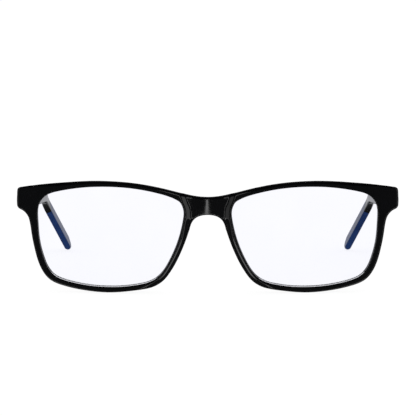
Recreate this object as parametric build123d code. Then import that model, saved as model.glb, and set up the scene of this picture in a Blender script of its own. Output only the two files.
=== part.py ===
from build123d import *
import math
import os

# Full-rim spectacle frame: one acetate front with two lenses and two nose pads,
# and two temples on five-barrel hinges. The frame stands as it does on a table,
# temples open, on the bottoms of its rims and the tips of its temples.
# Millimetres and degrees. +Z is up, the front faces -Y, the temples run to +Y,
# and "right" is the wearer's right, which is the -X side.

# ---------------------------------------------------------------- dimensions
FRONT_T = 4.0            # thickness of the front
FACE_R = 350.0           # radius of the front's face curve, seen from above
PANTO = 8.0              # lean of the front against the square of the temples
STAND = 4.1              # fall of the temples towards their tips when standing
BUTT_Y = 15.5            # joint plane between end piece and temple
END_IN_X = 65.9          # inner face of the end piece behind the front
END_Z0, END_Z1 = 8.5, 15.8     # bottom and top of the end piece behind the front

LENS_T = 2.0             # lens thickness
LENS_D = 1.0             # lens set back from the front's face
BEVEL_T = 0.7            # width of the lens bevel in its groove
BEVEL_H = 0.6            # depth of the groove
LENS_GAP = 0.05          # clearance of the lens body in its opening

ARM_T0, ARM_T1 = 3.6, 2.9      # temple thickness at the hinge and at the bend
ARM_H0, ARM_H1 = 6.9, 5.6      # temple height at the hinge and at the bend
TIP_T, TIP_H = 2.5, 6.4        # temple tip thickness and height
ARM_X0, ARM_Z0 = 67.9, 13.25    # arm centre at the hinge
BEND_Y, BEND_X, BEND_Z = 109.0, 66.4, 13.1   # arm centre where the ear bend starts
BEND_R, BEND_A = 24.0, 38.3    # radius and angle of the ear bend
BEND_END_X = 65.57             # arm centre where the tip piece starts
TIP_LEAN = 0.44                # the tip turns in by this much for each millimetre that it falls
ARM_EDGE = 0.7                 # edge rounding of the temples
ARM_GAP = 0.06                 # gap at the joint plane
FLAT_CUT = 0.03                # taken off the temple's outer side to make it one plane

CORE_W, CORE_H = 1.1, 2.2      # wire core inside each temple

HINGE_X = 64.5                 # hinge axis
HINGE_Z = 13.25                # middle of the barrels
BARREL_R, BARREL_H, BARREL_GAP = 1.25, 1.0, 0.06
BORE_R, PIN_R = 0.60, 0.55
LEAF_T = 0.8
LEAF_W = 5.2                   # leaf height along the axis
SCREW_HEAD_R, SCREW_HEAD_T = 1.1, 0.5
FIX_R, FIX_HEAD_R, FIX_HEAD_T, FIX_LEN = 0.5, 0.8, 0.35, 2.6

# Half of the front's outer outline, (x, height above the lens centre line),
# from the top of the bridge round the end piece to the bridge arch.
OUTER = [
    (0, 14.75), (4.92, 15.15), (9.32, 16.14), (15.82, 17.77), (22.41, 19.09), (29, 19.95),
    (35.5, 20.33), (39.9, 20.39), (46.5, 20.11), (53.09, 19.53), (59.79, 18.78), (64.18, 18.12),
    (66.39, 17.79), (67.77, 17.53), (68.74, 17.34), (69.6, 16.82), (69.91, 15.66), (69.97, 14.21),
    (70.05, 12.7), (70.03, 11.19), (69.9, 10.21), (69.34, 9.41), (68.43, 8.93), (67.37, 8.25),
    (66.49, 7.3), (65.89, 6.3), (65.48, 5), (65.18, 3.5), (64.77, 0.55), (64.28, -2.42),
    (63.66, -5.39), (62.91, -8.39), (61.9, -11.37), (60.39, -14.26), (58.56, -16.42), (56.24, -17.88),
    (53.13, -18.94), (48.71, -19.96), (42.01, -20.86), (36.2, -21.12), (31, -20.78), (24.37, -19.92),
    (20.09, -19.04), (17.45, -17.76), (15.43, -15.96), (13.48, -13.29), (11.72, -10.34), (10.26, -7.36),
    (8.96, -4.34), (7.8, -1.36), (6.73, 1.62), (5.71, 4.55), (5.21, 5.68), (4.63, 6.5),
    (3.83, 7.1), (2.55, 7.62), (1.28, 7.86), (0, 7.95),
]
# The lens opening on the +X side, anticlockwise from its inner upper corner.
INNER = [
    (9.35, 11.3), (10.1, 12.6), (11.4, 13.55), (13.6, 14.55), (18.0, 15.87), (24.6, 17.22),
    (31.2, 17.95), (37.7, 18.13), (44.3, 17.82), (51.0, 16.9), (55.4, 15.96), (57.9, 15.15),
    (59.75, 14.0), (61.05, 12.5), (61.85, 10.9), (62.28, 9.1), (62.38, 7.0), (62.23, 3.6),
    (61.94, -0.85), (61.17, -5.3), (59.84, -9.74), (58.5, -12.7), (57.35, -14.2), (55.7, -15.55),
    (53.4, -16.6), (49.0, -17.76), (42.4, -18.76), (36.5, -19.02), (31.3, -18.83), (24.7, -17.86),
    (21.9, -17.12), (19.9, -16.2), (18.1, -14.98), (16.5, -13.25), (13.85, -8.81), (11.83, -4.33),
    (10.33, 0.14), (9.27, 4.59), (8.85, 7.3), (8.83, 9.4),
]

os.makedirs("parts", exist_ok=True)


# ------------------------------------------------------------------ helpers
def sag(x, r=FACE_R):
    return r - math.sqrt(r * r - x * x)


def v3(p, y=0.0):
    return Vector(p[0], y, p[1])


def to_t(shape):
    """from the front's own tilted frame to the temples' frame"""
    return shape.rotate(Axis.X, PANTO)


def slab(d0, d1, z0=-40.0, z1=40.0, half=80.0):
    """curved plate between two depths behind the face, both sharing one centre"""
    r0, r1 = FACE_R - d0, FACE_R - d1
    c = Vector(0, FACE_R, z0)

    def pt(r, x):
        return Vector(x, FACE_R - math.sqrt(r * r - x * x), z0)

    a = ThreePointArc(pt(r0, -half), pt(r0, 0), pt(r0, half))
    b = ThreePointArc(pt(r1, half), pt(r1, 0), pt(r1, -half))
    w = Wire([a, Line(a @ 1, b @ 0), b, Line(b @ 1, a @ 0)])
    return extrude(Face(w), amount=z1 - z0, dir=(0, 0, 1))


def prism(face, y0=-10.0, length=60.0):
    return extrude(face, amount=length, dir=(0, 1, 0)).moved(Location((0, y0, 0)))


def pieces(edge, n):
    """the same curve as n edges in a row"""
    return [edge.trim(i / n, (i + 1) / n) for i in range(n)]


def closed_face(points, n=12):
    e = Edge.make_spline([v3(p) for p in points], periodic=True)
    return Face(Wire(pieces(e, n)))


def offset_loop(points, d, n=72):
    """points moved outwards by d along the loop's own normals"""
    e = Edge.make_spline([v3(p) for p in points], periodic=True)
    out = []
    for i in range(n):
        p, t = e.position_at(i / n), e.tangent_at(i / n)
        nx, nz = -t.Z, t.X          # left of the direction of travel
        out.append((p.X, p.Z, nx, nz))
    area = sum(out[i][0] * out[(i + 1) % n][1] - out[(i + 1) % n][0] * out[i][1] for i in range(n))
    s = -1.0 if area > 0 else 1.0
    return [(x + s * d * nx, z + s * d * nz) for x, z, nx, nz in out]


def box_between(x0, x1, y0, y1, z0, z1):
    return Pos((x0 + x1) / 2, (y0 + y1) / 2, (z0 + z1) / 2) * Box(abs(x1 - x0), abs(y1 - y0), abs(z1 - z0))


def cyl(p, axis, r, length):
    """cylinder from p along axis"""
    return Solid.make_cylinder(r, length, Plane(origin=p, z_dir=axis))


def one(shape):
    """the single solid of a shape"""
    s = shape.solids()
    assert len(s) == 1, [round(x.volume, 4) for x in s]
    return s[0]


def mirrored(shape):
    return shape.mirror(Plane.YZ)


# -------------------------------------------------- the front, in its own frame
half_edge = Edge.make_spline([v3(p) for p in OUTER], tangents=[Vector(1, 0, 0), Vector(-1, 0, 0)])
half_edges = pieces(half_edge, 14)
outline = Face(Wire(half_edges + [e.mirror(Plane.YZ) for e in reversed(half_edges)]))
opening = closed_face(INNER)
groove = closed_face(offset_loop(INNER, BEVEL_H))
lens_body = closed_face(offset_loop(INNER, -LENS_GAP))

plate = one(prism(outline) & slab(0, FRONT_T))
opening_l = one(prism(opening))
plate = one(plate - opening_l - mirrored(opening_l))

bevel_d = LENS_D + LENS_T / 2
lens_bevel = one(prism(groove) & slab(bevel_d - BEVEL_T / 2, bevel_d + BEVEL_T / 2))
lens_plate = one(prism(lens_body) & slab(LENS_D, LENS_D + LENS_T))
lens_l = one(lens_plate + lens_bevel)

# End piece: the corner of the front carried back to the temple's joint plane.
end_region = outline & (Pos(75, 0, (END_Z0 + END_Z1) / 2) * Rot(90, 0, 0) * Rectangle(2 * (75 - END_IN_X), END_Z1 - END_Z0))
back_dir = Vector(0, math.cos(math.radians(PANTO)), -math.sin(math.radians(PANTO)))
end_l = extrude(end_region.faces()[0], amount=30, dir=tuple(back_dir)).moved(Location((0, 8.6, 0)))
end_l = one(to_t(end_l) & box_between(50, 90, -20, BUTT_Y, -60, 60))

front = one(to_t(plate) + end_l + mirrored(end_l))
lens_l = one(to_t(lens_l))
lens_bevel_t = one(to_t(lens_bevel))

# Nose pad: a small acetate fin bonded behind the rim, leaning out to lie on the nose.
PAD_MID = (9.9, -2.6)        # middle of the pad's foot on the rim, (x, height)
PAD_TILT = 22.5              # lean of the nasal rim from the vertical
# sections from the rim backwards: depth, length, width, corner radius, shift outwards
PAD = [(3.2, 13.5, 2.1, 1.0, -0.15), (5.6, 12.6, 2.1, 1.0, -0.3), (7.8, 11.0, 1.9, 0.9, -0.32), (9.6, 7.6, 1.2, 0.55, -0.08)]


def pad_section(d, length, width, r, shift):
    p = Plane(origin=(PAD_MID[0], d, PAD_MID[1]), x_dir=(1, 0, 0), z_dir=(0, 1, 0))
    # local x runs outwards, local y downwards
    turn = Rot(0, 0, -PAD_TILT)
    return p * (turn * (Pos(shift, 0, 0) * RectangleRounded(width, length, r)))


pad_l = loft([pad_section(*q) for q in PAD])
pad_l = (to_t(pad_l) - front - lens_l).solids().sort_by(SortBy.VOLUME)[-1]

# ------------------------------------------------------- temples, left-hand side
hinge_bottom = HINGE_Z - (5 * BARREL_H + 4 * BARREL_GAP) / 2


def barrel_z(i):
    return hinge_bottom + i * (BARREL_H + BARREL_GAP)


def barrel(i):
    return cyl((HINGE_X, BUTT_Y, barrel_z(i)), (0, 0, 1), BARREL_R, BARREL_H)


bore = cyl((HINGE_X, BUTT_Y, hinge_bottom - 2), (0, 0, 1), BORE_R, 12)
leaf_z0, leaf_z1 = HINGE_Z - LEAF_W / 2, HINGE_Z + LEAF_W / 2
FRONT_LEAF_X = END_IN_X + 0.25          # the leaves are let in by a little
ARM_IN_X = ARM_X0 - ARM_T0 / 2
ARM_LEAF_X = ARM_IN_X + 0.25

# front leaf: three barrels
front_leaf = box_between(FRONT_LEAF_X - LEAF_T, FRONT_LEAF_X, BUTT_Y - 6.3, BUTT_Y - 1.6, leaf_z0, leaf_z1)
for i in (0, 2, 4):
    front_leaf = front_leaf + barrel(i) + box_between(HINGE_X + 0.1, FRONT_LEAF_X, BUTT_Y - 2.2, BUTT_Y - 0.1, barrel_z(i), barrel_z(i) + BARREL_H)
front_leaf = one(front_leaf - bore)

# temple leaf: two barrels
temple_leaf = box_between(ARM_LEAF_X - LEAF_T, ARM_LEAF_X, BUTT_Y + 1.7, BUTT_Y + 9.4, leaf_z0, leaf_z1)
for i in (1, 3):
    temple_leaf = temple_leaf + barrel(i) + box_between(HINGE_X + 0.1, ARM_LEAF_X, BUTT_Y + 0.15, BUTT_Y + 2.2, barrel_z(i), barrel_z(i) + BARREL_H)
temple_leaf = one(temple_leaf - bore)

# hinge screw: slotted head above the top barrel, shank through all five
top = barrel_z(4) + BARREL_H
screw = cyl((HINGE_X, BUTT_Y, hinge_bottom - 0.35), (0, 0, 1), PIN_R, top + 0.02 - hinge_bottom + 0.35)
head = cyl((HINGE_X, BUTT_Y, top + 0.02), (0, 0, 1), SCREW_HEAD_R, SCREW_HEAD_T)
slot = box_between(HINGE_X - 2, HINGE_X + 2, BUTT_Y - 0.15, BUTT_Y + 0.15, top + 0.02 + SCREW_HEAD_T * 0.45, top + 3)
screw = one(screw + head - slot)


def fixing(x_face, y, z):
    """small slotted screw through a leaf into the acetate, head on the leaf's inner face"""
    s = cyl((x_face, y, z), (1, 0, 0), FIX_R, FIX_LEN)
    s = s + cyl((x_face - FIX_HEAD_T, y, z), (1, 0, 0), FIX_HEAD_R, FIX_HEAD_T)
    s = s - box_between(x_face - 1, x_face - FIX_HEAD_T * 0.5, y - 0.12, y + 0.12, z - 2, z + 2)
    return one(s)


front_fix = [fixing(FRONT_LEAF_X - LEAF_T, BUTT_Y - 5.0, HINGE_Z + dz) for dz in (-1.45, 1.45)]
temple_fix = [fixing(ARM_LEAF_X - LEAF_T, BUTT_Y + y, HINGE_Z) for y in (4.3, 7.4)]

arm_start = BUTT_Y + ARM_GAP

# ear bend: the path turns down, and its lower end begins to turn in
s0 = math.atan2(ARM_Z0 - BEND_Z, BEND_Y - BUTT_Y)
s1 = s0 + math.radians(BEND_A)
tip_slope = -TIP_LEAN * math.sin(s1)         # sideways run for each millimetre along the tip
arc_len = BEND_R * (s1 - s0)
x_slope0 = (BEND_X - ARM_X0) / (BEND_Y - BUTT_Y)


def bend_point(u):
    a = s0 + u * (s1 - s0)
    y = BEND_Y + BEND_R * (math.sin(a) - math.sin(s0))
    z = BEND_Z - BEND_R * (math.cos(s0) - math.cos(a))
    h00, h10, h01, h11 = 2 * u**3 - 3 * u**2 + 1, u**3 - 2 * u**2 + u, -2 * u**3 + 3 * u**2, u**3 - u**2
    x = h00 * BEND_X + h10 * arc_len * x_slope0 + h01 * BEND_END_X + h11 * arc_len * tip_slope
    return Vector(x, y, z)


def bend_frame(u):
    """origin, direction along the temple, and its thickness direction"""
    e = 1e-4
    if u <= 0:
        t = Vector(0, 1, 0)
        return bend_point(0), t, Vector(1, 0, 0)
    t = (bend_point(min(u, 1.0)) - bend_point(min(u, 1.0) - e)).normalized()
    a = s0 + u * (s1 - s0)
    k = u * u * (3 - 2 * u)
    up = Vector(TIP_LEAN * 0.48 * math.cos(a) * k, math.sin(a), math.cos(a))
    n = t.cross(up).normalized()             # thickness direction, outwards
    return bend_point(u), t, n


def section(u, thick, high, r):
    o, t, n = bend_frame(u)
    return Plane(origin=o, x_dir=n, z_dir=t) * RectangleRounded(thick, high, r)


def mix(a, b, u):
    return a + (b - a) * u


US = (0.0, 0.2, 0.4, 0.6, 0.8, 1.0)
# temple arm: straight tapered part with flat sides, then the bend
butt = Plane(origin=(ARM_X0, arm_start, ARM_Z0), x_dir=(1, 0, 0), z_dir=(0, 1, 0)) * RectangleRounded(ARM_T0, ARM_H0, ARM_EDGE)
straight = loft([butt, section(0.0, ARM_T1, ARM_H1, ARM_EDGE)], ruled=True)
bend = loft([section(u, mix(ARM_T1, TIP_T, u), mix(ARM_H1, TIP_H, u), ARM_EDGE) for u in US])
arm_l = one(straight + bend)
# the outer side is trued to one plane, which runs out where the bend turns in
flat_n = Vector(BEND_Y - arm_start, (ARM_X0 + ARM_T0 / 2) - (BEND_X + ARM_T1 / 2), 0).normalized()
flat_p = Vector(ARM_X0 + ARM_T0 / 2, arm_start, ARM_Z0) - flat_n * FLAT_CUT
outside = Plane(origin=flat_p, x_dir=(0, 0, 1), z_dir=flat_n) * (Pos(0, 0, 5) * Box(60, 400, 10))
arm_l = one(arm_l - outside)

# temple tip: straight, with a round end that stands on the same level as the rims
end_o, end_t, end_n = bend_frame(1.0)
stand = math.radians(STAND)
rim_low = front.rotate(Axis.X, -STAND).bounding_box().min.Z


def low_of(run):
    c = end_o + end_t * run
    w = end_n.cross(end_t)
    half = math.sqrt(max(0.0, 1 - 0.0)) * TIP_H / 2
    # lowest point of the end disc, and of its two rims
    down = Vector(0, -math.sin(stand), -math.cos(stand))
    in_plane = down - end_n * down.dot(end_n)
    p = c + in_plane.normalized() * half
    z = []
    for k in (-1, 1):
        q = p + end_n * (k * TIP_T / 2)
        z.append(-q.Y * math.sin(stand) + q.Z * math.cos(stand))
    return min(z)


lo_run, hi_run = 5.0, 80.0
for _ in range(60):
    mid = (lo_run + hi_run) / 2
    if low_of(mid) > rim_low:
        lo_run = mid
    else:
        hi_run = mid
tip_run = hi_run

tip_plane = Plane(origin=end_o, x_dir=end_n, z_dir=end_t)
tip_l = extrude(tip_plane * RectangleRounded(TIP_T, TIP_H, ARM_EDGE), amount=tip_run + TIP_H / 2)
end_c = end_o + end_t * tip_run
end_plane = Plane(origin=end_c, x_dir=end_n, z_dir=end_t)
beyond = end_plane * (Pos(0, 0, 10) * Box(20, 20, 20))
round_end = Solid.make_cylinder(TIP_H / 2, 20, Plane(origin=end_c - end_n * 10, z_dir=end_n))
tip_l = one(tip_l - (beyond - round_end))

# wire core: lies in a channel that fits it, from behind the hinge into the tip
core_start = BUTT_Y + 11.0
k0 = (core_start - BUTT_Y) / (BEND_Y - BUTT_Y)
c0 = Vector(mix(ARM_X0, BEND_X, k0), core_start, mix(ARM_Z0, BEND_Z, k0))
c1 = bend_point(0)
core_sec0 = Plane(origin=c0, x_dir=(1, 0, 0), z_dir=(0, 1, 0)) * RectangleRounded(CORE_W, CORE_H, 0.4)
core_l = loft([core_sec0, section(0.0, CORE_W, CORE_H, 0.4)], ruled=True)
core_l = core_l + loft([section(u, CORE_W, CORE_H, 0.4) for u in US])
core_l = core_l + extrude(tip_plane * RectangleRounded(CORE_W, CORE_H, 0.4), amount=tip_run - 2.0)
core_l = one(core_l)

# ------------------------------------------------------------ seats for the metal
for t in [front_leaf, *front_fix]:
    front = front - t
    front = front - mirrored(t)
front = one(front)
bevels = lens_bevel_t
front = one(front - bevels - mirrored(bevels))
for i, s in enumerate(front_fix):
    front_leaf = front_leaf - s
front_leaf = one(front_leaf)
for s in temple_fix:
    temple_leaf = temple_leaf - s
    arm_l = arm_l - s
arm_l = one(arm_l - temple_leaf - core_l)
temple_leaf = one(temple_leaf)
tip_l = one(tip_l - core_l)

# ------------------------------------------------------------- placing and export
left = {
    "lens": [lens_l],
    "nose_pad": [pad_l],
    "hinge_front_leaf": [front_leaf],
    "hinge_temple_leaf": [temple_leaf],
    "hinge_screw": [screw],
    "front_leaf_screws": front_fix,
    "temple_leaf_screws": temple_fix,
    "temple_arm": [arm_l],
    "temple_core": [core_l],
    "temple_tip": [tip_l],
}
nodes = {"front_frame": [front]}
for name, solids in left.items():
    nodes[name + "_left"] = solids
    nodes[name + "_right"] = [s.mirror(Plane.YZ) for s in solids]

placed = {n: [s.rotate(Axis.X, -STAND) for s in solids] for n, solids in nodes.items()}
boxes = [s.bounding_box() for solids in placed.values() for s in solids]
z_low = min(b.min.Z for b in boxes)
y_mid = (min(b.min.Y for b in boxes) + max(b.max.Y for b in boxes)) / 2
shift = Vector(0, -y_mid, -z_low)
for n, solids in placed.items():
    solids = [s.moved(Location(shift)) for s in solids]
    export_step(solids[0] if len(solids) == 1 else Compound(solids), f"parts/{n}.step")

# Fixed points that other work can use, in the finished frame.
c, si = math.cos(stand), math.sin(stand)


def at(x, y, z):
    return (round(x, 4), round(y * c + z * si + shift.Y, 4), round(-y * si + z * c + shift.Z, 4))


print("origin of the front (lens centre line at the bridge)", at(0, 0, 0))
print("hinge axis point, left", at(HINGE_X, BUTT_Y, HINGE_Z), "direction", (0, round(si, 6), round(c, 6)))
k = 0.5
fx = mix(ARM_X0 + ARM_T0 / 2, BEND_X + ARM_T1 / 2, k)
print("outer flat of the left arm", at(fx - flat_n.X * FLAT_CUT, mix(arm_start, BEND_Y, k) - flat_n.Y * FLAT_CUT, mix(ARM_Z0, BEND_Z, k)))
print("its outward normal", (round(flat_n.X, 6), round(flat_n.Y * c, 6), round(-flat_n.Y * si, 6)))
ear = bend_point(0.5)
print("underside of the left ear bend", at(ear.X, ear.Y - math.sin((s0 + s1) / 2) * 3.0, ear.Z - math.cos((s0 + s1) / 2) * 3.0), "slope", round(math.degrees((s0 + s1) / 2) + STAND, 3))
print("tip run", round(tip_run, 3), "temple length", round((BEND_Y - BUTT_Y) + arc_len + tip_run + TIP_H / 2, 2))
print("rim low", round(rim_low, 4), "size", [round(v, 3) for v in (max(b.max.X for b in boxes) - min(b.min.X for b in boxes), max(b.max.Y for b in boxes) - min(b.min.Y for b in boxes), max(b.max.Z for b in boxes) - z_low)])
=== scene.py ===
import math

import bpy
import bmesh
import numpy as np
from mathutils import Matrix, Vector


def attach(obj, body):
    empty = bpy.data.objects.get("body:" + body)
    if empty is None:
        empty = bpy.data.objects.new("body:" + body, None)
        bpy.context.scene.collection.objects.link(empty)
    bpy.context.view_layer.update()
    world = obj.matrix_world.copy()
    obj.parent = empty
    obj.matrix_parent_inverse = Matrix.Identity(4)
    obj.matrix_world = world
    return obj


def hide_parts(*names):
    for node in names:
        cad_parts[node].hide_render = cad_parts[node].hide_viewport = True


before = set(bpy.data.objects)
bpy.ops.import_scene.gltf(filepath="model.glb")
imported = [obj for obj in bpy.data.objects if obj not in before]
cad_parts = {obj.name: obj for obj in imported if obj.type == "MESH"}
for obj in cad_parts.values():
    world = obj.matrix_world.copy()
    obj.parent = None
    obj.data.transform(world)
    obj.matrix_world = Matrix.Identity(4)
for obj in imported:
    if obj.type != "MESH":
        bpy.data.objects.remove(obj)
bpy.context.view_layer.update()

MM = 0.001

# ------------------------------------------------------------------ sizes, in mm
# The same values as the solids: the front in its own tilted frame, the temples in theirs.
FRONT_T = 4.0
FACE_R = 350.0
PANTO, STAND = math.radians(8.0), math.radians(4.1)
ROW_Y, ROW_Z = -72.2572, 20.9779
BUTT_Y = 15.5
END_IN_X, END_Z0, END_Z1 = 65.9, 8.5, 15.8
ARM_T0, ARM_T1, ARM_H0, ARM_H1 = 3.6, 2.9, 6.9, 5.6
TIP_T, TIP_H = 2.5, 6.4
ARM_X0, ARM_Z0 = 67.9, 13.25
BEND_Y, BEND_X, BEND_Z = 109.0, 66.4, 13.1
BEND_R, BEND_A = 24.0, 38.3
BEND_END_X, TIP_LEAN = 65.57, 0.44
ARM_START = BUTT_Y + 0.06
TIP_RUN = 25.456
LENS_D, LENS_T = 1.0, 2.0

OUTER = [
    (0, 14.75), (4.92, 15.15), (9.32, 16.14), (15.82, 17.77), (22.41, 19.09), (29, 19.95),
    (35.5, 20.33), (39.9, 20.39), (46.5, 20.11), (53.09, 19.53), (59.79, 18.78), (64.18, 18.12),
    (66.39, 17.79), (67.77, 17.53), (68.74, 17.34), (69.6, 16.82), (69.91, 15.66), (69.97, 14.21),
    (70.05, 12.7), (70.03, 11.19), (69.9, 10.21), (69.34, 9.41), (68.43, 8.93), (67.37, 8.25),
    (66.49, 7.3), (65.89, 6.3), (65.48, 5), (65.18, 3.5), (64.77, 0.55), (64.28, -2.42),
    (63.66, -5.39), (62.91, -8.39), (61.9, -11.37), (60.39, -14.26), (58.56, -16.42), (56.24, -17.88),
    (53.13, -18.94), (48.71, -19.96), (42.01, -20.86), (36.2, -21.12), (31, -20.78), (24.37, -19.92),
    (20.09, -19.04), (17.45, -17.76), (15.43, -15.96), (13.48, -13.29), (11.72, -10.34), (10.26, -7.36),
    (8.96, -4.34), (7.8, -1.36), (6.73, 1.62), (5.71, 4.55), (5.21, 5.68), (4.63, 6.5),
    (3.83, 7.1), (2.55, 7.62), (1.28, 7.86), (0, 7.95),
]
INNER = [
    (9.35, 11.3), (10.1, 12.6), (11.4, 13.55), (13.6, 14.55), (18.0, 15.87), (24.6, 17.22),
    (31.2, 17.95), (37.7, 18.13), (44.3, 17.82), (51.0, 16.9), (55.4, 15.96), (57.9, 15.15),
    (59.75, 14.0), (61.05, 12.5), (61.85, 10.9), (62.28, 9.1), (62.38, 7.0), (62.23, 3.6),
    (61.94, -0.85), (61.17, -5.3), (59.84, -9.74), (58.5, -12.7), (57.35, -14.2), (55.7, -15.55),
    (53.4, -16.6), (49.0, -17.76), (42.4, -18.76), (36.5, -19.02), (31.3, -18.83), (24.7, -17.86),
    (21.9, -17.12), (19.9, -16.2), (18.1, -14.98), (16.5, -13.25), (13.85, -8.81), (11.83, -4.33),
    (10.33, 0.14), (9.27, 4.59), (8.85, 7.3), (8.83, 9.4),
]
# The crest between each rim's face and the facet that falls to the hollow of the bridge. It runs on
# down the nasal rim and round the lower corner, and fades out along the bottom rim.
CREST = [
    (11.6, 22.0), (10.9, 18.0), (10.2, 15.2), (9.6, 13.5), (9.1, 12.0), (8.45, 10.5), (8.15, 9.0),
    (8.12, 7.5), (8.35, 6.0), (8.6, 4.5), (8.9, 2.5), (9.4, 0.0), (10.0, -2.0), (11.2, -5.0),
    (12.62, -8.0), (14.15, -10.8), (16.0, -13.7), (17.5, -15.35), (19.5, -16.9), (21.7, -17.95), (24.5, -18.75),
    (31.2, -19.8), (36.4, -20.0), (42.5, -19.75), (49.2, -18.75), (54.0, -17.55), (57.2, -16.0), (59.3, -13.5),
]


# ------------------------------------------------------------------ curves
def cubic(points, closed=False, ends=None, step=0.2):
    """Points close together on the cubic spline through these points."""
    p = np.array(points, float)
    if closed:
        p = np.vstack([p, p[:1]])
    h = np.linalg.norm(np.diff(p, axis=0), axis=1)
    n = len(p)
    a, b = np.zeros((n, n)), np.zeros((n, 2))
    for i in range(1, n - 1):
        a[i, i - 1], a[i, i], a[i, i + 1] = h[i], 2 * (h[i - 1] + h[i]), h[i - 1]
        b[i] = 3 * (h[i] * (p[i] - p[i - 1]) / h[i - 1] + h[i - 1] * (p[i + 1] - p[i]) / h[i])
    if closed:
        a[0, 0], a[0, -1] = 1, -1
        a[-1, 0] = 2 * (h[-1] + h[0])
        a[-1, 1] = h[-1]
        a[-1, n - 2] = h[0]
        b[-1] = 3 * (h[0] * (p[-1] - p[-2]) / h[-1] + h[-1] * (p[1] - p[0]) / h[0])
    elif ends is not None:
        a[0, 0] = a[-1, -1] = 1
        b[0], b[-1] = ends
    else:
        a[0, 0], a[0, 1], b[0] = 2, 1, 3 * (p[1] - p[0]) / h[0]
        a[-1, -1], a[-1, -2], b[-1] = 2, 1, 3 * (p[-1] - p[-2]) / h[-1]
    m = np.linalg.solve(a, b)
    out = []
    for i in range(n - 1):
        k = max(2, int(math.ceil(h[i] / step)))
        u = np.arange(k)[:, None] / k
        h00, h10, h01, h11 = 2 * u**3 - 3 * u**2 + 1, u**3 - 2 * u**2 + u, -2 * u**3 + 3 * u**2, u**3 - u**2
        out.append(h00 * p[i] + h10 * h[i] * m[i] + h01 * p[i + 1] + h11 * h[i] * m[i + 1])
    if not closed:
        out.append(p[-1:])
    return np.vstack(out)


class Line2:
    """Signed distance to a plane curve: negative on its left."""

    def __init__(self, pts, closed=True, left_inside=True, cell=0.4, reach=7):
        if closed:
            area = np.sum(pts[:, 0] * np.roll(pts[:, 1], -1) - np.roll(pts[:, 0], -1) * pts[:, 1])
            if area < 0:
                pts = pts[::-1]
            self.a, self.b = pts, np.roll(pts, -1, 0)
        else:
            self.a, self.b = pts[:-1], pts[1:]
        self.closed, self.reach, self.cell = closed, reach, cell
        self.sign = 1.0 if left_inside else -1.0
        self.lo = np.array([-3.0, -24.0])
        nx, nz = int(76 / cell), int(48 / cell)
        gx = self.lo[0] + (np.arange(nx) + 0.5) * cell
        gz = self.lo[1] + (np.arange(nz) + 0.5) * cell
        mid = (self.a + self.b) / 2
        near = np.zeros((nx, nz), np.int32)
        for i in range(nx):
            d = (gx[i] - mid[None, :, 0]) ** 2 + (gz[:, None] - mid[None, :, 1]) ** 2
            near[i] = np.argmin(d, axis=1)
        self.near, self.nx, self.nz = near, nx, nz

    def __call__(self, x, z):
        shape = np.shape(x)
        x, z = np.ravel(x), np.ravel(z)
        out = np.empty(len(x))
        for s in range(0, len(x), 60000):
            out[s:s + 60000] = self.part(x[s:s + 60000], z[s:s + 60000])
        return out.reshape(shape)

    def part(self, x, z):
        i = np.clip(((x - self.lo[0]) / self.cell).astype(int), 0, self.nx - 1)
        j = np.clip(((z - self.lo[1]) / self.cell).astype(int), 0, self.nz - 1)
        k = self.near[i, j][:, None] + np.arange(-self.reach, self.reach + 1)[None]
        k = k % len(self.a) if self.closed else np.clip(k, 0, len(self.a) - 1)
        ax, az = self.a[k, 0], self.a[k, 1]
        dx, dz = self.b[k, 0] - ax, self.b[k, 1] - az
        wx, wz = x[:, None] - ax, z[:, None] - az
        h = np.clip((wx * dx + wz * dz) / (dx * dx + dz * dz), 0, 1)
        dd = (wx - dx * h) ** 2 + (wz - dz * h) ** 2
        m = np.argmin(dd, axis=1)
        r = np.arange(len(x))
        cross = dx[r, m] * wz[r, m] - dz[r, m] * wx[r, m]
        return np.where(cross * self.sign > 0, -1.0, 1.0) * np.sqrt(dd[r, m])


half = cubic(OUTER, ends=[(1, 0), (-1, 0)])
whole = np.vstack([half, (half[::-1] * [-1, 1])[1:-1]])
opening = cubic(INNER, closed=True)
d_outer = Line2(whole)
d_inner = Line2(opening)
d_crest = Line2(cubic(CREST), closed=False, left_inside=True)


def smooth(a, b, x):
    u = np.clip((x - a) / (b - a), 0, 1)
    return u * u * (3 - 2 * u)


def rmax(a, b, r):
    """Both, with a rounded edge of radius r between them."""
    return np.minimum(np.maximum(a + r, b + r), 0) + np.hypot(np.maximum(a + r, 0), np.maximum(b + r, 0)) - r


def rmin(a, b, r):
    return -rmax(-a, -b, r)


FACET = math.tan(math.radians(22))


def knee(u, r):
    """0 below nought and u above it, with a rounded corner."""
    return np.where(u < -r, 0, np.where(u > r, u, (u + r) ** 2 / (4 * r)))


def relief(x, z, dc):
    """How far the face lies back from the plain face curve. dc is the distance past the crest, on the nose's side."""
    hollow = FACET * (knee(dc - 0.2, 0.2) - knee(dc - 1.85, 0.25))
    rim = FACET * knee(dc + 0.02, 0.15) + 0.55 * knee(dc - 0.62, 0.3)
    w = smooth(3.8, 7.2, z) * smooth(11.5, 9.5, x)
    depth = hollow * w + rim * (1 - w) * (1 - smooth(18, 27, x))
    depth = depth * (1 - smooth(10.0, 16.0, x) * smooth(6, 12, z))
    u = np.clip(x / 6.4, 0, 1)
    bulge = (0.25 - 0.12 * smooth(14.0, 9.0, z)) * (1 - u * u) ** 2 * smooth(4.5, 7.0, z)
    return depth - bulge


R_IN, R_BACK = 0.4, 0.75
DRAW = math.tan(math.radians(11.5))      # how much the outer wall draws in towards the back


def r_out(x, z):
    """Rounding of the outer front edge: fullest along the top."""
    return 0.55 + 0.75 * smooth(9.0, 13.0, z) * smooth(64.0, 56.0, x)


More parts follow.
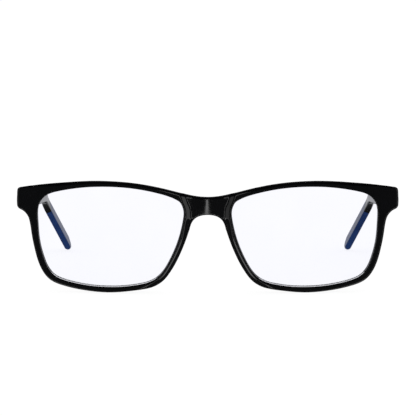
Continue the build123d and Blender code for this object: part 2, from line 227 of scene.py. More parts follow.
def front_value(x, y, z, t, do, di, lean, dc):
    """Signed distance to the front, near enough. x is not negative."""
    zp = z + np.maximum(y - 8.6, 0) * math.tan(PANTO)
    depth = relief(x, z, dc)
    face = depth - t
    block = rmax(rmax(END_IN_X - x, END_Z0 - zp, 0.4), zp - END_Z1, 0.6)
    back = rmin(t - FRONT_T, block, 0.6)
    draw = DRAW * np.clip(t - np.clip(depth, 0, 0.9) - 0.5, 0, 3.5) * (1 - smooth(61, 64, x) * smooth(6.5, 9, z) * (1 - smooth(15.0, 16.4, z)))
    do, lean = do + draw, lean + draw
    yt = y * math.cos(PANTO) - z * math.sin(PANTO)
    o = rmax(rmax(lean, back, R_BACK), yt - BUTT_Y, 0.3)
    f = np.maximum(o, rmax(do, face, r_out(x, z)))
    f = np.maximum(f, rmax(di, face, R_IN))
    f = np.maximum(f, rmax(di, back, 0.45))
    groove = (-di + np.abs(t - 2.0) - 0.6) * 0.7071
    return np.maximum(f, -groove)


def leaning(x, y, z, do):
    """Distance to the outline, which leans with the temples behind the face at the end pieces."""
    w = smooth(60, 63, x) * smooth(6.5, 9.5, z)
    m = (w > 0) & (y > 8.6)
    out = do.copy()
    if m.any():
        zp = z[m] + (y[m] - 8.6) * math.tan(PANTO) * w[m]
        out[m] = d_outer(x[m], zp)
    return out


def front_at(p):
    x, y, z = np.abs(p[:, 0]), p[:, 1], p[:, 2]
    t = FACE_R - np.sqrt((FACE_R - y) ** 2 + x * x)
    do = d_outer(x, z)
    return front_value(x, y, z, t, do, -d_inner(x, z), leaning(x, y, z, do), d_crest(x, z))


def nets(v, lo, step):
    """Surface nets of a grid of signed values, as points, four-sided faces and each point's cell."""
    neg = v < 0
    offs = np.array([(i, j, k) for i in (0, 1) for j in (0, 1) for k in (0, 1)])
    n = [s - 1 for s in v.shape]
    count = sum(neg[o[0]:o[0] + n[0], o[1]:o[1] + n[1], o[2]:o[2] + n[2]].astype(np.int8) for o in offs)
    act = (count > 0) & (count < 8)
    cells = np.argwhere(act)
    ids = np.full(act.shape, -1, np.int64)
    ids[act] = np.arange(len(cells))
    vals = [v[cells[:, 0] + o[0], cells[:, 1] + o[1], cells[:, 2] + o[2]] for o in offs]
    acc, cnt = np.zeros((len(cells), 3)), np.zeros(len(cells))
    for a in range(8):
        for b in range(a + 1, 8):
            if np.abs(offs[a] - offs[b]).sum() != 1:
                continue
            m = (vals[a] < 0) != (vals[b] < 0)
            t = vals[a][m] / (vals[a][m] - vals[b][m])
            acc[m] += offs[a] + (offs[b] - offs[a]) * t[:, None]
            cnt[m] += 1
    points = np.array(lo) + (cells + acc / cnt[:, None]) * np.array(step)
    quads = []
    for ax in range(3):
        u, w = (ax + 1) % 3, (ax + 2) % 3
        sl0, sl1 = [slice(None)] * 3, [slice(None)] * 3
        sl0[ax], sl1[ax] = slice(0, -1), slice(1, None)
        a, b = neg[tuple(sl0)], neg[tuple(sl1)]
        e = np.argwhere(a != b)
        e = e[(e[:, u] > 0) & (e[:, u] < v.shape[u] - 1) & (e[:, w] > 0) & (e[:, w] < v.shape[w] - 1)]
        ring = []
        for du, dw in ((-1, -1), (0, -1), (0, 0), (-1, 0)):
            c = e.copy()
            c[:, u] += du
            c[:, w] += dw
            ring.append(ids[c[:, 0], c[:, 1], c[:, 2]])
        q = np.stack(ring, 1)
        flip = ~a[e[:, 0], e[:, 1], e[:, 2]]
        q[flip] = q[flip][:, ::-1]
        quads.append(q)
    return points, np.vstack(quads), cells, ids


def f_to_row(p):
    a = PANTO - STAND
    y = p[:, 1] * math.cos(a) - p[:, 2] * math.sin(a) + ROW_Y
    z = p[:, 1] * math.sin(a) + p[:, 2] * math.cos(a) + ROW_Z
    return np.stack([p[:, 0], y, z], 1) * MM


def t_to_row(p):
    y = p[:, 1] * math.cos(STAND) + p[:, 2] * math.sin(STAND) + ROW_Y
    z = -p[:, 1] * math.sin(STAND) + p[:, 2] * math.cos(STAND) + ROW_Z
    return np.stack([p[:, 0], y, z], 1) * MM


def curved(x, t, z):
    """From depth behind the face to the front's own frame."""
    return np.stack([x, FACE_R - np.sqrt((FACE_R - t) ** 2 - x * x), z], -1)


# ------------------------------------------------------------------ meshes
def mesh_object(name, verts, faces, normals=None, sharp=None):
    me = bpy.data.meshes.new(name)
    if isinstance(faces, np.ndarray):
        me.vertices.add(len(verts))
        me.vertices.foreach_set("co", np.ascontiguousarray(verts, np.float32).ravel())
        me.loops.add(faces.size)
        me.loops.foreach_set("vertex_index", faces.astype(np.int32).ravel())
        me.polygons.add(len(faces))
        me.polygons.foreach_set("loop_start", np.arange(len(faces), dtype=np.int32) * faces.shape[1])
        me.update(calc_edges=True)
    else:
        me.from_pydata([tuple(map(float, v)) for v in verts], [], [tuple(map(int, f)) for f in faces])
    me.validate()
    me.polygons.foreach_set("use_smooth", np.ones(len(me.polygons), bool))
    if normals is not None:
        me.normals_split_custom_set_from_vertices([tuple(map(float, n)) for n in normals])
    elif sharp is not None:
        me.set_sharp_from_angle(angle=math.radians(sharp))
    me.update()
    ob = bpy.data.objects.new(name, me)
    bpy.context.scene.collection.objects.link(ob)
    return ob


def build_front():
    g = 0.25
    xs = np.arange(0, 71.0, g)
    zs = np.arange(-21.6, 21.2, g)
    ts = np.arange(-0.6, 11.8, g)
    X, Z = np.meshgrid(xs, zs, indexing="ij")
    do2, di2, dc2 = d_outer(X, Z), -d_inner(X, Z), d_crest(X, Z)
    shape = (len(xs), len(ts), len(zs))
    x3 = np.broadcast_to(xs[:, None, None], shape)
    t3 = np.broadcast_to(ts[None, :, None], shape)
    z3 = np.broadcast_to(zs[None, None, :], shape)
    y3 = FACE_R - np.sqrt((FACE_R - t3) ** 2 - x3 * x3)
    do3 = np.broadcast_to(do2[:, None, :], shape)
    di3 = np.broadcast_to(di2[:, None, :], shape)
    dc3 = np.broadcast_to(dc2[:, None, :], shape)
    lean = do3.copy()
    m = x3 > 60
    near = m & (np.abs(do3) < 6)
    lean[near] = leaning(x3[near], y3[near], z3[near], do3[near])
    v = front_value(x3, y3, z3, t3, do3, di3, lean, dc3)
    full = np.concatenate([v[:0:-1], v], 0)
    full[np.abs(full) < 1e-9] = 1e-9
    pts, quads, cells, ids = nets(full, (-xs[-1], ts[0], zs[0]), (g, g, g))
    ncell = full.shape[0] - 1
    right = np.flatnonzero(cells[:, 0] >= ncell // 2)
    p = curved(pts[right, 0], pts[right, 1], pts[right, 2])

    def gradient(q, e):
        out = np.zeros_like(q)
        for a in range(3):
            d = np.zeros(3)
            d[a] = e
            out[:, a] = (front_at(q + d) - front_at(q - d)) / (2 * e)
        return out

    def project(q, times):
        for _ in range(times):
            f = front_at(q)
            gr = gradient(q, 0.02)
            q = q - gr * (np.clip(f, -0.2, 0.2) / np.maximum((gr ** 2).sum(1), 0.2))[:, None]
        return q

    p = project(p, 2)
    # one round of evening out along the surface, then back on to it
    index = np.full(len(pts), -1)
    index[right] = np.arange(len(right))
    q = quads[(index[quads] >= 0).all(1)]
    q = index[q]
    for _ in range(2):
        acc, cnt = np.zeros_like(p), np.zeros(len(p))
        for a in range(4):
            for b in (1, 3):
                np.add.at(acc, q[:, a], p[q[:, (a + b) % 4]])
                np.add.at(cnt, q[:, a], 1)
        move = acc / np.maximum(cnt, 1)[:, None] - p
        edge = cells[right, 0] == ncell // 2
        move[edge] = 0
        p = project(p + 0.45 * move, 1)
    p = project(p, 1)
    nrm = gradient(p, 0.07)
    nrm /= np.linalg.norm(nrm, axis=1)[:, None]
    allp, alln = np.zeros((len(pts), 3)), np.zeros((len(pts), 3))
    allp[right], alln[right] = p, nrm
    left = np.flatnonzero(cells[:, 0] < ncell // 2)
    partner = ids[ncell - 1 - cells[left, 0], cells[left, 1], cells[left, 2]]
    allp[left] = allp[partner] * [-1, 1, 1]
    alln[left] = alln[partner] * [-1, 1, 1]
    a = PANTO - STAND
    rown = np.stack([alln[:, 0], alln[:, 1] * math.cos(a) - alln[:, 2] * math.sin(a), alln[:, 1] * math.sin(a) + alln[:, 2] * math.cos(a)], 1)
    return mesh_object("acetate_front", f_to_row(allp), quads, normals=rown)


# temples -------------------------------------------------------------------
S0 = math.atan2(ARM_Z0 - BEND_Z, BEND_Y - BUTT_Y)
S1 = S0 + math.radians(BEND_A)
TIP_SLOPE = -TIP_LEAN * math.sin(S1)
ARC_LEN = BEND_R * (S1 - S0)
X_SLOPE0 = (BEND_X - ARM_X0) / (BEND_Y - BUTT_Y)


def bend_point(u):
    a = S0 + u * (S1 - S0)
    y = BEND_Y + BEND_R * (math.sin(a) - math.sin(S0))
    z = BEND_Z - BEND_R * (math.cos(S0) - math.cos(a))
    h00, h10, h01, h11 = 2 * u**3 - 3 * u**2 + 1, u**3 - 2 * u**2 + u, -2 * u**3 + 3 * u**2, u**3 - u**2
    x = h00 * BEND_X + h10 * ARC_LEN * X_SLOPE0 + h01 * BEND_END_X + h11 * ARC_LEN * TIP_SLOPE
    return np.array([x, y, z])


def bend_frame(u):
    if u <= 0:
        return bend_point(0), np.array([0.0, 1, 0]), np.array([1.0, 0, 0])
    t = bend_point(u) - bend_point(u - 1e-4)
    t /= np.linalg.norm(t)
    a = S0 + u * (S1 - S0)
    k = u * u * (3 - 2 * u)
    up = np.array([TIP_LEAN * 0.48 * math.cos(a) * k, math.sin(a), math.cos(a)])
    n = np.cross(t, up)
    n /= np.linalg.norm(n)
    return bend_point(u), t, n


CORNER = 7


def rounded_rect(w, h, r):
    """Upper half then lower half of a rounded rectangle, starting at the middle of the -w side."""
    r = min(r, w / 2 - 1e-4, h / 2 - 1e-4)
    pts = [(-w / 2, 0.0), (-w / 2, (h / 2 - r) * 0.5)]
    for i in range(CORNER + 1):
        a = math.pi - i * (math.pi / 2) / CORNER
        pts.append((-w / 2 + r + r * math.cos(a), h / 2 - r + r * math.sin(a)))
    for i in range(CORNER + 1):
        a = math.pi / 2 - i * (math.pi / 2) / CORNER
        pts.append((w / 2 - r + r * math.cos(a), h / 2 - r + r * math.sin(a)))
    pts += [(w / 2, (h / 2 - r) * 0.5), (w / 2, 0.0)]
    up = np.array(pts)
    low = (up[::-1] * [1, -1])[1:-1]
    return up, np.vstack([up, low])


def ring_at(o, t, n, w, h, r):
    up = np.cross(n, t)
    return o + rounded_rect(w, h, r)[1] @ np.array([n, up])


def loft_faces(rings, start=0):
    m = len(rings[0])
    faces = []
    for i in range(len(rings) - 1):
        for j in range(m):
            a, b = start + i * m + j, start + i * m + (j + 1) % m
            faces.append((a, b, b + m, a + m))
    return faces


def cap(faces, m, first, reverse):
    f = list(range(first, first + m))
    faces.append(f[::-1] if reverse else f)


def finish_mesh(ob, sharp=38, merge=1e-6):
    bm = bmesh.new()
    bm.from_mesh(ob.data)
    bmesh.ops.remove_doubles(bm, verts=bm.verts, dist=merge)
    bmesh.ops.dissolve_degenerate(bm, edges=bm.edges, dist=1e-7)
    bmesh.ops.recalc_face_normals(bm, faces=bm.faces)
    bm.to_mesh(ob.data)
    bm.free()
    ob.data.polygons.foreach_set("use_smooth", np.ones(len(ob.data.polygons), bool))
    ob.data.set_sharp_from_angle(angle=math.radians(sharp))
    ob.data.update()
    return ob


def eased(o, t, n, w, h, r, e, into):
    """Three rings that round the edge of a square end; into is +1 at the start of a piece and -1 at its end."""
    out = []
    for a in (0, 30, 60, 90):
        k = math.radians(a)
        inset, along = e * (1 - math.sin(k)), e * (1 - math.cos(k))
        out.append(ring_at(o + t * along * into, t, n, w - 2 * inset, h - 2 * inset, max(0.1, r - inset)))
    return out


ARM_EDGE = 0.75


def build_arm(side):
    t, n = np.array([0.0, 1, 0]), np.array([1.0, 0, 0])
    o = np.array([ARM_X0, ARM_START, ARM_Z0])
    rings = []
    first = eased(o, t, n, ARM_T0, ARM_H0, ARM_EDGE, 0.22, 1)
    rings.append(ring_at(o, t, n, ARM_T0 - 0.8, ARM_H0 - 0.8, 0.4))
    rings += first
    for k in np.linspace(0, 1, 17)[1:-1]:
        c = np.array([ARM_X0 + (BEND_X - ARM_X0) * k, ARM_START + (BEND_Y - ARM_START) * k, ARM_Z0 + (BEND_Z - ARM_Z0) * k])
        rings.append(ring_at(c, t, n, ARM_T0 + (ARM_T1 - ARM_T0) * k, ARM_H0 + (ARM_H1 - ARM_H0) * k, ARM_EDGE))
    for u in np.linspace(0, 1, 25):
        c, tt, nn = bend_frame(u)
        rings.append(ring_at(c, tt, nn, ARM_T1 + (TIP_T - ARM_T1) * u, ARM_H1 + (TIP_H - ARM_H1) * u, ARM_EDGE))
    m = len(rings[0])
    faces = loft_faces(rings)
    cap(faces, m, 0, True)
    cap(faces, m, (len(rings) - 1) * m, False)
    v = np.vstack(rings) * [side, 1, 1]
    return finish_mesh(mesh_object("acetate_arm_" + NAME[side], t_to_row(v), faces))


def build_tip(side):
    o, t, n = bend_frame(1.0)
    up = np.cross(n, t)
    rings = [ring_at(o + t * s, t, n, TIP_T, TIP_H, ARM_EDGE) for s in np.linspace(0, TIP_RUN, 13)]
    m = len(rings[0])
    faces = loft_faces(rings)
    cap(faces, m, 0, True)
    v = np.vstack(rings)
    base = len(v)
    top, _ = rounded_rect(TIP_T, TIP_H, ARM_EDGE)
    full, _ = rounded_rect(TIP_T, TIP_H, TIP_T / 2 - 0.02)      # the end itself is rounder than the sides
    k = len(top)
    c = o + t * TIP_RUN
    turns = 18
    arcs = []
    for i in range(turns + 1):
        a = math.pi * i / turns
        d = up * math.cos(a) + t * math.sin(a)
        w = smooth(0.0, 0.6, math.sin(a))
        arcs.append(c + (top * (1 - w) + full * w) @ np.array([n, d]))
    v = np.vstack([v] + arcs)
    for i in range(turns):
        for j in range(k - 1):
            a = base + i * k + j
            faces.append((a, a + 1, a + 1 + k, a + k))
    v = v * [side, 1, 1]
    return finish_mesh(mesh_object("acetate_tip_" + NAME[side], t_to_row(v), faces))


PAD = [(3.0, 13.5, 2.1, 1.0, -0.15), (3.2, 13.5, 2.1, 1.0, -0.15), (5.6, 12.6, 2.1, 1.0, -0.3), (7.8, 11.0, 1.9, 0.9, -0.32), (9.6, 7.6, 1.2, 0.55, -0.08)]


def build_pad(side):
    mid, tilt = (9.9, -2.6), math.radians(22.5)
    d = np.array([q[0] for q in PAD])
    table = np.array(PAD)
    rings = []
    depths = list(np.linspace(3.2, 8.9, 14))
    e = 0.55
    for a in (15, 30, 45, 60, 75, 87):
        depths.append(9.58 - e + e * math.sin(math.radians(a)))
    for y in depths:
        length, width, r, shift = [np.interp(y, d, table[:, c]) for c in (1, 2, 3, 4)]
        # the four sections joined smoothly
        s = max(0.0, y - (9.58 - e))
        inset = e - math.sqrt(max(0.0, e * e - s * s))
        w, l = max(0.12, width - 2 * inset * 0.95), length - 2 * inset * 1.6
        sec = rounded_rect(w, l, w / 2 - 0.01)[1]
        la, lb = sec[:, 0] + shift, -sec[:, 1]
        x = mid[0] + la * math.cos(tilt) + lb * math.sin(tilt)
        z = mid[1] + la * math.sin(tilt) - lb * math.cos(tilt)
        rings.append(np.stack([x, np.full(len(x), y), z], 1))
    sm = np.array(rings)
    for _ in range(3):
        sm[1:14] = (sm[0:13] + 2 * sm[1:14] + sm[2:15]) / 4
    for i, y in enumerate(depths):
        sm[i, :, 1] = y
    m = sm.shape[1]
    faces = loft_faces(list(sm))
    cap(faces, m, 0, True)
    cap(faces, m, (len(rings) - 1) * m, False)
    v = sm.reshape(-1, 3) * [side, 1, 1]
    return finish_mesh(mesh_object("nose_fin_" + NAME[side], f_to_row(v), faces), sharp=50)


def build_lens(side):
    p = cubic(INNER, closed=True, step=0.6)
    t = np.roll(p, -1, 0) - np.roll(p, 1, 0)
    t /= np.linalg.norm(t, axis=1)[:, None]
    area = np.sum(p[:, 0] * np.roll(p[:, 1], -1) - np.roll(p[:, 0], -1) * p[:, 1])
    out = np.stack([t[:, 1], -t[:, 0]], 1) * (1 if area > 0 else -1)
    mid = np.array([36.0, -0.3])
    rings = []

    def inside(k, depth):
        q = mid + (p - 0.12 * out - mid) * k
        rings.append(curved(q[:, 0], depth, q[:, 1]))

    scales = [0.03, 0.12, 0.24, 0.36, 0.48, 0.6, 0.7, 0.79, 0.87, 0.93, 0.97, 0.99]
    for k in scales:
        inside(k, LENS_D)
    for off, depth in ((-0.12, 1.0), (-0.07, 1.03), (-0.05, 1.08), (-0.05, 1.55), (0.5, 1.96), (0.5, 2.04), (-0.05, 2.45), (-0.05, 2.92), (-0.07, 2.97), (-0.12, 3.0)):
        q = p + out * off
        rings.append(curved(q[:, 0], depth, q[:, 1]))
    for k in scales[::-1]:
        inside(k, LENS_D + LENS_T)
    m = len(p)
    faces = loft_faces(rings)
    cap(faces, m, 0, True)
    cap(faces, m, (len(rings) - 1) * m, False)
    v = np.vstack(rings) * [side, 1, 1]
    return finish_mesh(mesh_object("lens_plate_" + NAME[side], f_to_row(v), faces), sharp=25)


def eased_copy(node, name, width, segments=2):
    """The node's own shape with its edges eased."""
    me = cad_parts[node].data.copy()
    me.name = name
    me.materials.clear()
    ob = bpy.data.objects.new(name, me)
    bpy.context.scene.collection.objects.link(ob)
    bm = bmesh.new()
    bm.from_mesh(me)
    bmesh.ops.remove_doubles(bm, verts=bm.verts, dist=2e-6)
    bmesh.ops.dissolve_limit(bm, angle_limit=math.radians(1.5), verts=bm.verts, edges=bm.edges)
    bmesh.ops.recalc_face_normals(bm, faces=bm.faces)
    bm.to_mesh(me)
    bm.free()
    mod = ob.modifiers.new("ease", "BEVEL")
    mod.width = width
    mod.segments = segments
    mod.limit_method = "ANGLE"
    mod.angle_limit = math.radians(35)
    mod.use_clamp_overlap = True
    mod.harden_normals = False
    dg = bpy.context.evaluated_depsgraph_get()
    new = bpy.data.meshes.new_from_object(ob.evaluated_get(dg))
    ob.modifiers.clear()
    ob.data = new
    new.name = name
    new.polygons.foreach_set("use_smooth", np.ones(len(new.polygons), bool))
    new.set_sharp_from_angle(angle=math.radians(40))
    return ob


# ------------------------------------------------------------------ materials
def nodes_of(name):
    m = bpy.data.materials.new(name)
    m.use_nodes = True
    nt = m.node_tree
    nt.nodes.clear()
    out = nt.nodes.new("ShaderNodeOutputMaterial")
    return m, nt, out


def node(nt, kind, **values):
    n = nt.nodes.new(kind)
    for k, v in values.items():
        if k in n.inputs:
            n.inputs[k].default_value = v
        else:
            setattr(n, k, v)
    return n


def acetate(name, dark, light, rough=(0.045, 0.10), cloud=95.0):
    """Polished cellulose acetate: deep colour with faint clouds, a hand-polished gloss and hairline rubs."""
    m, nt, out = nodes_of(name)
    tc = node(nt, "ShaderNodeTexCoord")
    p = node(nt, "ShaderNodeBsdfPrincipled")
    p.inputs["IOR"].default_value = 1.48
    clouds = node(nt, "ShaderNodeTexNoise")
    clouds.inputs["Scale"].default_value = cloud
    clouds.inputs["Detail"].default_value = 4.0
    clouds.inputs["Distortion"].default_value = 0.8
    ramp = node(nt, "ShaderNodeValToRGB")
    ramp.color_ramp.elements[0].position = 0.34
    ramp.color_ramp.elements[1].position = 0.72
    ramp.color_ramp.elements[0].color = (*dark, 1)
    ramp.color_ramp.elements[1].color = (*light, 1)
    nt.links.new(tc.outputs["Object"], clouds.inputs["Vector"])
    nt.links.new(clouds.outputs["Fac"], ramp.inputs["Fac"])
    nt.links.new(ramp.outputs["Color"], p.inputs["Base Color"])
    # polish marks: long thin rubs, stretched along the piece
    mp = node(nt, "ShaderNodeMapping")
    mp.inputs["Scale"].default_value = (1.0, 0.16, 1.0)
    mp.inputs["Rotation"].default_value = (0.2, 0.35, 0.5)
    rub = node(nt, "ShaderNodeTexNoise")
    rub.inputs["Scale"].default_value = 2600.0
    rub.inputs["Detail"].default_value = 2.0
    nt.links.new(tc.outputs["Object"], mp.inputs["Vector"])
    nt.links.new(mp.outputs["Vector"], rub.inputs["Vector"])
    soft = node(nt, "ShaderNodeTexNoise")
    soft.inputs["Scale"].default_value = 420.0
    soft.inputs["Detail"].default_value = 3.0
    nt.links.new(tc.outputs["Object"], soft.inputs["Vector"])
    mix = node(nt, "ShaderNodeMath", operation="MULTIPLY_ADD")
    mix.inputs[1].default_value = 0.35
    nt.links.new(rub.outputs["Fac"], mix.inputs[0])
    nt.links.new(soft.outputs["Fac"], mix.inputs[2])
    rr = node(nt, "ShaderNodeMapRange")
    rr.inputs["From Min"].default_value = 0.45
    rr.inputs["From Max"].default_value = 0.95
    rr.inputs["To Min"].default_value = rough[0]
    rr.inputs["To Max"].default_value = rough[1]
    nt.links.new(mix.outputs["Value"], rr.inputs["Value"])
    nt.links.new(rr.outputs["Result"], p.inputs["Roughness"])
    bump = node(nt, "ShaderNodeBump")
    bump.inputs["Strength"].default_value = 0.12
    bump.inputs["Distance"].default_value = 0.00001
    nt.links.new(soft.outputs["Fac"], bump.inputs["Height"])
    nt.links.new(bump.outputs["Normal"], p.inputs["Normal"])
    nt.links.new(p.outputs["BSDF"], out.inputs["Surface"])
    return m


def metal(name, colour, dark, rough, grain=(1.0, 0.05, 1.0), scale=9000.0):
    """Brushed plated metal: fine grain one way, with duller colour in the low spots."""
    m, nt, out = nodes_of(name)
    tc = node(nt, "ShaderNodeTexCoord")
    p = node(nt, "ShaderNodeBsdfPrincipled")
    p.inputs["Metallic"].default_value = 1.0
    mp = node(nt, "ShaderNodeMapping")
    mp.inputs["Scale"].default_value = grain
    brush = node(nt, "ShaderNodeTexNoise")
    brush.inputs["Scale"].default_value = scale
    brush.inputs["Detail"].default_value = 3.0
    nt.links.new(tc.outputs["Object"], mp.inputs["Vector"])
    nt.links.new(mp.outputs["Vector"], brush.inputs["Vector"])
    tarnish = node(nt, "ShaderNodeTexNoise")
    tarnish.inputs["Scale"].default_value = 520.0
    tarnish.inputs["Detail"].default_value = 5.0
    nt.links.new(tc.outputs["Object"], tarnish.inputs["Vector"])
    ramp = node(nt, "ShaderNodeValToRGB")
    ramp.color_ramp.elements[0].position = 0.3
    ramp.color_ramp.elements[1].position = 0.65
    ramp.color_ramp.elements[0].color = (*dark, 1)
    ramp.color_ramp.elements[1].color = (*colour, 1)
    nt.links.new(tarnish.outputs["Fac"], ramp.inputs["Fac"])
    nt.links.new(ramp.outputs["Color"], p.inputs["Base Color"])
    rr = node(nt, "ShaderNodeMapRange")
    rr.inputs["To Min"].default_value = rough[0]
    rr.inputs["To Max"].default_value = rough[1]
    nt.links.new(brush.outputs["Fac"], rr.inputs["Value"])
    nt.links.new(rr.outputs["Result"], p.inputs["Roughness"])
    bump = node(nt, "ShaderNodeBump")
    bump.inputs["Strength"].default_value = 0.25
    bump.inputs["Distance"].default_value = 0.00001
    nt.links.new(brush.outputs["Fac"], bump.inputs["Height"])
    nt.links.new(bump.outputs["Normal"], p.inputs["Normal"])
    nt.links.new(p.outputs["BSDF"], out.inputs["Surface"])
    return m


def lens_material(name):
    """Clear coated plastic: what is behind shows through with a breath of lavender, and a thin coating gloss."""
    m, nt, out = nodes_of(name)
    clear = node(nt, "ShaderNodeBsdfTransparent")
    tc = node(nt, "ShaderNodeTexCoord")
    haze = node(nt, "ShaderNodeTexNoise")
    haze.inputs["Scale"].default_value = 60.0
    haze.inputs["Detail"].default_value = 2.0
    nt.links.new(tc.outputs["Object"], haze.inputs["Vector"])
    tint = node(nt, "ShaderNodeValToRGB")
    tint.color_ramp.elements[0].position = 0.3
    tint.color_ramp.elements[1].position = 0.7
    tint.color_ramp.elements[0].color = (0.968, 0.970, 0.998, 1)
    tint.color_ramp.elements[1].color = (0.976, 0.977, 1.0, 1)
    nt.links.new(haze.outputs["Fac"], tint.inputs["Fac"])
    nt.links.new(tint.outputs["Color"], clear.inputs["Color"])
    gloss = node(nt, "ShaderNodeBsdfPrincipled")
    gloss.inputs["Base Color"].default_value = (0.02, 0.02, 0.03, 1)
    gloss.inputs["IOR"].default_value = 1.5
    rr = node(nt, "ShaderNodeMapRange")
    rr.inputs["To Min"].default_value = 0.015
    rr.inputs["To Max"].default_value = 0.035
    nt.links.new(haze.outputs["Fac"], rr.inputs["Value"])
    nt.links.new(rr.outputs["Result"], gloss.inputs["Roughness"])
    gloss.inputs["Specular IOR Level"].default_value = 1.0
    lw = node(nt, "ShaderNodeLayerWeight")
    lw.inputs["Blend"].default_value = 0.12
    fac = node(nt, "ShaderNodeMapRange")
    fac.inputs["To Min"].default_value = 0.004
    fac.inputs["To Max"].default_value = 0.5
    nt.links.new(lw.outputs["Fresnel"], fac.inputs["Value"])
    mix = node(nt, "ShaderNodeMixShader")
    nt.links.new(fac.outputs["Result"], mix.inputs[0])
    nt.links.new(clear.outputs["BSDF"], mix.inputs[1])
    nt.links.new(gloss.outputs["BSDF"], mix.inputs[2])
    nt.links.new(mix.outputs["Shader"], out.inputs["Surface"])
    return m


black = acetate("black_acetate", (0.0004, 0.0004, 0.0006), (0.0011, 0.0011, 0.0015))
navy = acetate("navy_acetate", (0.0040, 0.0150, 0.062), (0.0085, 0.0270, 0.100))
clear = lens_material("clear_lens")
silver = metal("hinge_metal", (0.66, 0.64, 0.60), (0.50, 0.48, 0.45), (0.22, 0.38))
steel = metal("screw_metal", (0.60, 0.60, 0.61), (0.44, 0.44, 0.45), (0.18, 0.34), grain=(0.3, 1.0, 1.0))
wire = metal("core_wire", (0.58, 0.57, 0.55), (0.45, 0.44, 0.42), (0.25, 0.4))

NAME = {1: "left", -1: "right"}


def dress(ob, mat, slot, body, *stands_for):
    ob.data.materials.clear()
    ob.data.materials.append(mat)
    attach(ob, body)
    if stands_for:
        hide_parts(*stands_for)
    return ob


dress(build_front(), black, "black_acetate", "front", "front_frame")
for side in (1, -1):
    w = NAME[side]
    dress(build_lens(side), clear, "clear_lens", "front", "lens_" + w)
    dress(build_pad(side), black, "black_acetate", "front", "nose_pad_" + w)
    dress(build_arm(side), black, "black_acetate", "temple_" + w, "temple_arm_" + w)
    dress(build_tip(side), navy, "navy_acetate", "temple_" + w, "temple_tip_" + w)
    for nd, mat, slot, body, ease in (
        ("hinge_front_leaf_", silver, "hinge_metal", "front", 0.00010),
        ("hinge_temple_leaf_", silver, "hinge_metal", "temple_", 0.00010),
        ("hinge_screw_", steel, "screw_metal", "front", 0.00007),
        ("front_leaf_screws_", steel, "screw_metal", "front", 0.00006),
        ("temple_leaf_screws_", steel, "screw_metal", "temple_", 0.00006),
    ):
        b = body + w if body == "temple_" else body
        piece = eased_copy(nd + w, "eased_" + nd + w, ease)
        dress(piece, mat, slot, b, nd + w)
    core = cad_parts["temple_core_" + w]
    core.data.materials.clear()
    core.data.materials.append(wire)

# ------------------------------------------------------------------ stage
scene = bpy.context.scene
scene.view_settings.view_transform = "Standard"
scene.view_settings.look = "None"
scene.view_settings.exposure = 0.0
scene.view_settings.gamma = 1.0


def glow(name, colour, strength):
    m, nt, out = nodes_of(name)
    e = node(nt, "ShaderNodeEmission")
    e.inputs["Color"].default_value = (*colour, 1)
    e.inputs["Strength"].default_value = strength
    d = node(nt, "ShaderNodeBsdfDiffuse")
    d.inputs["Color"].default_value = (0.12, 0.12, 0.12, 1)
    add = node(nt, "ShaderNodeAddShader")
    nt.links.new(e.outputs["Emission"], add.inputs[0])
    nt.links.new(d.outputs["BSDF"], add.inputs[1])
    nt.links.new(add.outputs["Shader"], out.inputs["Surface"])
    return m


def sweep_stage():
    """Seamless paper: a floor that curves up into a wall all round, as one surface of revolution."""
    prof = [(0.0, 0.0), (0.4, 0.0), (1.2, 0.0), (2.6, 0.0)]
    for i in range(1, 13):
        a = math.radians(90 * i / 12)
        prof.append((2.6 + 1.6 * math.sin(a), 1.6 * (1 - math.cos(a))))
    prof += [(4.2, 3.0), (3.6, 4.4), (2.2, 5.2), (0.0, 5.5)]
    n = 64
    v, f = [], []
    for r, z in prof:
        for j in range(n):
            a = 2 * math.pi * j / n
            v.append((r * math.cos(a), r * math.sin(a), z))
    for i in range(len(prof) - 1):
        for j in range(n):
            a, b = i * n + j, i * n + (j + 1) % n
            f.append((a, b, b + n, a + n))
    ob = mesh_object("paper_sweep", np.array(v), f)
    bm = bmesh.new()
    bm.from_mesh(ob.data)
    bmesh.ops.remove_doubles(bm, verts=bm.verts, dist=1e-5)
    bmesh.ops.recalc_face_normals(bm, faces=bm.faces)
    bmesh.ops.reverse_faces(bm, faces=bm.faces)
    bm.to_mesh(ob.data)
    bm.free()
    ob.data.polygons.foreach_set("use_smooth", np.ones(len(ob.data.polygons), bool))
    return ob


stage = sweep_stage()
stage.data.materials.append(glow("white_paper", (1.0, 1.0, 1.0), 0.90))
stage.visible_glossy = False
stage.visible_shadow = False

world = bpy.data.worlds.new("studio")
scene.world = world
world.use_nodes = True
wt = world.node_tree
bg = wt.nodes["Background"]
bg.inputs["Color"].default_value = (0.95, 0.97, 1.0, 1)
# the room: dim below eye level and dark above it
way = wt.nodes.new("ShaderNodeTexCoord")
split = wt.nodes.new("ShaderNodeSeparateXYZ")
dim = node(wt, "ShaderNodeMapRange")
dim.inputs["From Min"].default_value = -0.16
dim.inputs["From Max"].default_value = 0.10
dim.inputs["To Min"].default_value = 0.085
dim.inputs["To Max"].default_value = 0.018
wt.links.new(way.outputs["Generated"], split.inputs["Vector"])
wt.links.new(split.outputs["Z"], dim.inputs["Value"])
wt.links.new(dim.outputs["Result"], bg.inputs["Strength"])

CENTRE = Vector((0, -0.0724, 0.034))


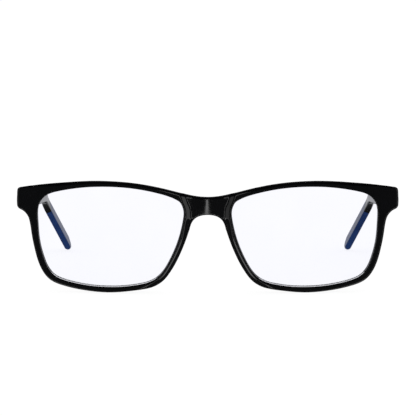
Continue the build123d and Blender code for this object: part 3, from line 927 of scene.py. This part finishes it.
def softbox(name, direction, distance, size, radiance, colour=(1, 1, 1)):
    """Area light that faces the bridge from a direction (azimuth from the front, height), in degrees."""
    az, el = (math.radians(v) for v in direction)
    d = Vector((math.sin(az) * math.cos(el), -math.cos(az) * math.cos(el), math.sin(el)))
    data = bpy.data.lights.new(name, "AREA")
    data.shape = "RECTANGLE"
    data.size, data.size_y = size
    # a one-sided rectangle of this radiance
    data.energy = radiance * math.pi * size[0] * size[1]
    data.color = colour
    ob = bpy.data.objects.new(name, data)
    ob.location = CENTRE + d * distance
    ob.rotation_euler = (-d).to_track_quat("-Z", "Y").to_euler()
    ob.visible_camera = False
    scene.collection.objects.link(ob)
    return ob


softbox("strip_front", (-0.6, -17.0), 1.1, (0.042, 1.3), 3.6)
softbox("side_left", (-42.0, -8.0), 1.2, (0.25, 0.75), 0.6)
softbox("side_right", (42.0, -8.0), 1.2, (0.25, 0.75), 1.1)
softbox("low_left", (-37.0, -37.0), 1.2, (0.38, 0.5), 2.6)
softbox("low_right", (37.0, -37.0), 1.2, (0.38, 0.5), 2.2)
softbox("behind", (180.0, 8.0), 1.6, (2.4, 1.4), 0.44)
softbox("behind_low", (180.0, -27.0), 1.5, (2.0, 0.5), 0.34)
softbox("behind_centre", (180.0, 15.0), 1.5, (0.66, 0.5), 2.1)
softbox("wide_left", (-92.0, 0.0), 1.6, (1.3, 0.8), 0.5)
softbox("wide_right", (92.0, 0.0), 1.6, (1.3, 0.8), 0.5)
softbox("overhead", (0.0, 89.5), 1.5, (0.9, 0.9), 0.25)

# ------------------------------------------------------------------ camera
F_PX = 2739.5
EL = 6.17
pitch = math.radians(EL) - math.atan((236.95 - 208) / F_PX)
ahead = Vector((0, math.cos(pitch), -math.sin(pitch)))
up = Vector((0, math.sin(pitch), math.cos(pitch)))
place = -1.0 * ahead + up * ((236.95 - 208) / F_PX) - Vector((1, 0, 0)) * ((207.70 - 208) / F_PX)
cam_data = bpy.data.cameras.new("camera")
cam_data.sensor_width = 36.0
cam_data.lens = F_PX / 416 * 36.0
cam_data.clip_end = 50.0
cam_data.clip_start = 0.05
cam = bpy.data.objects.new("camera", cam_data)
cam.location = Vector((0, ROW_Y * MM, ROW_Z * MM)) + place
cam.rotation_euler = ahead.to_track_quat("-Z", "Y").to_euler()
scene.collection.objects.link(cam)
scene.camera = cam
